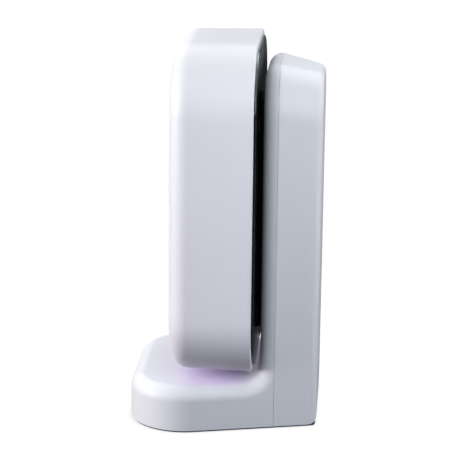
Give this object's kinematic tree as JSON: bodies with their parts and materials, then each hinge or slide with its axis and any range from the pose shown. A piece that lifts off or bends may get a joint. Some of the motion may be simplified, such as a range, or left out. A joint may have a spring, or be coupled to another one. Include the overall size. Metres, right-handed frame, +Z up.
{
  "type": "occupancy sensor",
  "caption": "Desktop occupancy sensor: rounded white housing with a glossy black back, held by magnets on the column of a white L-shaped stand.",
  "frame": {"origin": "bottom centre of the box round the whole object, on the surface it stands on", "axes": "+Z up, the lens and the front of the foot face -Y, the object is symmetric in shape about x = 0"},
  "size_m": [0.0412, 0.0352, 0.0712],
  "materials": {
    "shell_white": "satin white, lightly polished",
    "stand_white": "satin white",
    "lens_milk": "milky, ribbed on the inside",
    "cover_black": "polished black",
    "frame_black": "moulded black",
    "plate_grey": "plain moulded",
    "board_green": "green solder mask",
    "chip_black": "moulded epoxy",
    "antenna_ceramic": "fired",
    "can_steel": "tinned",
    "cell_steel": "nickel plated",
    "contact_steel": "nickel plated spring",
    "screw_steel": "zinc plated",
    "magnet_nickel": "nickel plated",
    "weight_steel": "zinc plated",
    "keeper_steel": "zinc plated",
    "pad_rubber": "dark elastomer",
    "strip_rubber": "soft elastomer"
  },
  "bodies": {
    "root": {"front_shell": "shell_white", "lens": "lens_milk", "back_cover": "cover_black", "back_cover_screws": "screw_steel", "main_board": "board_green", "battery_frame": "frame_black", "coin_cell": "cell_steel", "battery_negative_contact": "contact_steel", "battery_positive_clip": "contact_steel", "pir_detector": "can_steel", "pir_seat_ring": "frame_black", "radio_module": "can_steel", "antenna": "antenna_ceramic", "controller_chip": "chip_black", "crystal_can": "can_steel", "capacitors": "antenna_ceramic", "thermistor": "chip_black", "frame_screws": "screw_steel", "cover_magnets": "magnet_nickel", "stand_front": "stand_white", "stand_rear_cover": "stand_white", "base_plate": "plate_grey", "foot_weight": "weight_steel", "foot_pad": "pad_rubber", "base_screws": "screw_steel", "keeper_plate": "keeper_steel", "mount_strip": "strip_rubber"}
  },
  "joints": []
}
